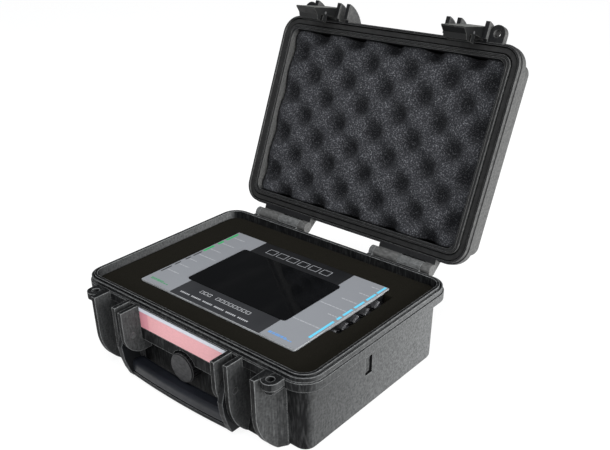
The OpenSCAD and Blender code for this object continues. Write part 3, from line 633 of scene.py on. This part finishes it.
def bar_mesh(form, x0, x1, y0, y1, low_z, corner=0.3 * MM):
    """A thin printed bar with small rounded corners."""
    corner = min(corner, (x1 - x0) / 2.5, (y1 - y0) / 2.5)
    around = []
    for cx, cy, start in (
            (x1 - corner, y1 - corner, 0), (x0 + corner, y1 - corner, 90),
            (x0 + corner, y0 + corner, 180), (x1 - corner, y0 + corner, 270)):
        for step in range(4):
            angle = math.radians(start + 30 * step)
            around.append((cx + corner * math.cos(angle), cy + corner * math.sin(angle)))
    top = [form.verts.new((x, y, low_z + INK_THICKNESS)) for x, y in around]
    bottom = [form.verts.new((x, y, low_z)) for x, y in around]
    count = len(around)
    form.faces.new(top)
    form.faces.new(bottom[::-1])
    for i in range(count):
        form.faces.new((top[i], bottom[i], bottom[(i + 1) % count], top[(i + 1) % count]))


def print_bars(name, bars, surface, corner=0.3 * MM):
    """Prints bars, each (left, right, front, rear), on the films."""
    film_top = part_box("centre_film")[1].z
    form = bmesh.new()
    for x0, x1, y0, y1 in bars:
        bar_mesh(form, x0 * MM, x1 * MM, y0 * MM, y1 * MM, film_top, corner)
    mesh = bpy.data.meshes.new(name)
    form.to_mesh(mesh)
    form.free()
    return new_piece(name, mesh, "instrument", surface, smooth=False)


# Front and rear ends of the dashes beside the ports, from the middle of the case, in millimetres
RIGHT_DASHES = [(-42, -12), (-8, -2.7), (0, 12), (15, 28), (31, 44), (46, 58.5)]
LEFT_BLACK_DASHES = [(-41.7, -29.1), (-25.5, -18.4), (-12.5, -6), (-3, 7.6)]
LEFT_GREEN_DASHES = [(9.8, 23.5), (28.3, 35.7), (39.5, 55.5)]
# Lengths of the blank labels beside those dashes, front to rear
RIGHT_LABELS = (27, 9, 26, 16, 10, 8)
LEFT_LABELS = (14, 13, 9, 21, 13, 15, 14)
LABEL_HEIGHT = 0.9
DASH_INSET = 1.2
DASH_WIDTH = 2.3
BLACK_DASH_WIDTH = 1.3
BLACK_DASH_SHIFT = 0.5
BLOCK = 1.1
BLOCK_GAP = 0.8
LABEL_INSET = 4.6


def label_line(x0, x1, y):
    """A blank label: a thin line with gaps, as a row of short bars."""
    bars = []
    x = x0
    lengths = (3.4, 2.2, 4.6, 2.8)
    turn = 0
    while x < x1:
        end = min(x + lengths[turn % len(lengths)], x1)
        if end - x > 0.6:
            bars.append((x, end, y - LABEL_HEIGHT / 2, y + LABEL_HEIGHT / 2))
        x = end + 0.7
        turn += 1
    return bars


def block_line(x0, words, y0, y1):
    """The generic stand-in for a line of small print: words of equal blocks."""
    bars = []
    x = x0
    for blocks in words:
        for _ in range(blocks):
            bars.append((x, x + BLOCK, y0, y1))
            x += BLOCK + BLOCK_GAP
        x += 2 * BLOCK
    return bars


def outline_tile(x0, x1, y0, y1, stroke):
    """The four bars of an outlined tile."""
    return [
        (x0, x1, y0, y0 + stroke), (x0, x1, y1 - stroke, y1),
        (x0, x0 + stroke, y0 + stroke, y1 - stroke), (x1 - stroke, x1, y0 + stroke, y1 - stroke)]


def tile_row(x0, count, width, gap, y0, y1, stroke):
    """A row of equal outlined tiles, the generic stand-in for a line of large print."""
    bars = []
    for i in range(count):
        left = x0 + i * (width + gap)
        bars += outline_tile(left, left + width, y0, y1, stroke)
    return bars


def make_port_marks(film_left, film_right):
    """Dashes along the outer edges of the side films, one beside each port, with their labels."""
    cyan = ink("ink_cyan", (0.14, 0.62, 0.86))
    green = ink("ink_green", (0.02, 0.42, 0.12))
    black = ink("ink_black", (0.006, 0.006, 0.007))
    pale = ink("ink_label", (0.42, 0.43, 0.45))

    def dashes(edge, spans, width=DASH_WIDTH):
        return [(edge, edge + width, front, rear) for front, rear in spans]

    right_edge = film_right - DASH_INSET - DASH_WIDTH
    left_edge = film_left + DASH_INSET
    print_bars("right_port_dashes", dashes(right_edge, RIGHT_DASHES), cyan)
    black_dashes = dashes(left_edge + BLACK_DASH_SHIFT, LEFT_BLACK_DASHES, BLACK_DASH_WIDTH)
    print_bars("left_port_dashes_black", black_dashes, black)
    print_bars("left_port_dashes_green", dashes(left_edge, LEFT_GREEN_DASHES), green)

    labels = []
    for (front, rear), length in zip(RIGHT_DASHES, RIGHT_LABELS):
        end = film_right - LABEL_INSET
        labels += label_line(end - length, end, (front + rear) / 2)
    for (front, rear), length in zip(LEFT_BLACK_DASHES + LEFT_GREEN_DASHES, LEFT_LABELS):
        start = film_left + LABEL_INSET
        labels += label_line(start, start + length, (front + rear) / 2)
    print_bars("port_labels", labels, pale, 0.1 * MM)


def make_printed_marks():
    film_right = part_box("right_film")[1].x / MM
    film_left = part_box("left_film")[0].x / MM
    make_port_marks(film_left, film_right)

    white = ink("ink_white", (0.5, 0.505, 0.52))
    pale = ink("ink_pale", (0.3, 0.305, 0.32))
    blue = ink("ink_blue", (0.1, 0.33, 0.75))
    green = ink("ink_dark_green", (0.02, 0.3, 0.1))
    fine = 0.1 * MM
    front_line = -55.2
    rear_line = -53.7
    right_label = label_line(56, 80, front_line) + label_line(56, 74, rear_line)
    left_label = label_line(-84, -62, front_line) + label_line(-84, -68, rear_line)
    print_bars("right_block_label", right_label, blue, fine)
    print_bars("left_block_label", left_label, green, fine)
    print_bars("subtitle_line", block_line(-45, (6, 6, 6, 6, 6, 6), -56, -54.2), white, fine)

    title = tile_row(-31, 3, 3.5, 1.1, -47, -43, 0.4) + tile_row(-12, 8, 3.9, 1.1, -47, -43, 0.4)
    print_bars("title_tiles", title, white, 0.05 * MM)
    emblem = tile_row(-39, 6, 10, 2.8, 43, 51.5, 0.6)
    print_bars("emblem_tiles", emblem, pale, 0.05 * MM)


# ---- Insides of the sockets ----


def ring_profile(form, place, turn, points, steps=28):
    """Turns a profile of (radius, height) points about the Z axis, then moves it into place."""
    rings = []
    for radius, height in points:
        ring = []
        for i in range(steps):
            angle = 2 * math.pi * i / steps
            local = Vector((radius * math.cos(angle), radius * math.sin(angle), height))
            ring.append(form.verts.new(place + turn @ local))
        rings.append(ring)
    for lower, upper in zip(rings, rings[1:]):
        for i in range(steps):
            form.faces.new((lower[i], lower[(i + 1) % steps], upper[(i + 1) % steps], upper[i]))
    form.faces.new(rings[0][::-1])
    form.faces.new(rings[-1])


def solid_boxes(node):
    """Lowest and highest corner of each separate solid in a node, by following connected vertices."""
    form = bmesh.new()
    form.from_mesh(nodes[node].data)
    bmesh.ops.remove_doubles(form, verts=form.verts[:], dist=0.01 * MM)
    seen = set()
    boxes = []
    for start in form.verts:
        if start in seen:
            continue
        stack = [start]
        seen.add(start)
        low = start.co.copy()
        high = start.co.copy()
        while stack:
            vertex = stack.pop()
            for i in range(3):
                low[i] = min(low[i], vertex.co[i])
                high[i] = max(high[i], vertex.co[i])
            for edge in vertex.link_edges:
                other = edge.other_vert(vertex)
                if other not in seen:
                    seen.add(other)
                    stack.append(other)
        boxes.append((low, high))
    form.free()
    return boxes


# Outlines as (radius, height above the insulator's seat)
INSULATOR_PROFILE = [
    (3.5 * MM, 0), (3.5 * MM, 0.7 * MM), (3.3 * MM, 0.9 * MM), (2.2 * MM, 0.9 * MM), (2.0 * MM, 0.6 * MM)]
CONTACT_PROFILE = [(0.9 * MM, 0.5 * MM), (0.9 * MM, 2.2 * MM), (0.6 * MM, 2.5 * MM)]
SEAT_BELOW_MOUTH = 3 * MM


def make_socket_centres():
    """White insulators with gold contacts, set in the coaxial sockets."""
    insulators = bmesh.new()
    contacts = bmesh.new()
    for node, side in (("output_sockets", 1), ("input_sockets", -1)):
        turn = Matrix.Rotation(side * math.pi / 2, 3, "Y")
        for low, high in solid_boxes(node):
            mouth = high.x if side > 0 else low.x
            middle = (low + high) / 2
            place = Vector((mouth - side * SEAT_BELOW_MOUTH, middle.y, middle.z))
            ring_profile(insulators, place, turn, INSULATOR_PROFILE)
            ring_profile(contacts, place, turn, CONTACT_PROFILE)
    white = moulded_plastic("insulator_white", (0.62, 0.61, 0.58), 0.4, (0.7, 0.7, 0.68), wear=0.2)
    gold = steel("contact_gold", (0.9, 0.68, 0.3), 0.25)
    for name, form, surface, slot in (
            ("socket_insulators", insulators, white, "socket_dark"),
            ("socket_contacts", contacts, gold, "socket_metal")):
        mesh = bpy.data.meshes.new(name)
        form.to_mesh(mesh)
        form.free()
        new_piece(name, mesh, "instrument", surface, smooth=False)


bpy.context.scene.view_settings.view_transform = "Standard"
make_camera()
make_studio()
paint_cad_nodes()
make_lid_foam()
make_base_foam()
make_printed_marks()
make_socket_centres()
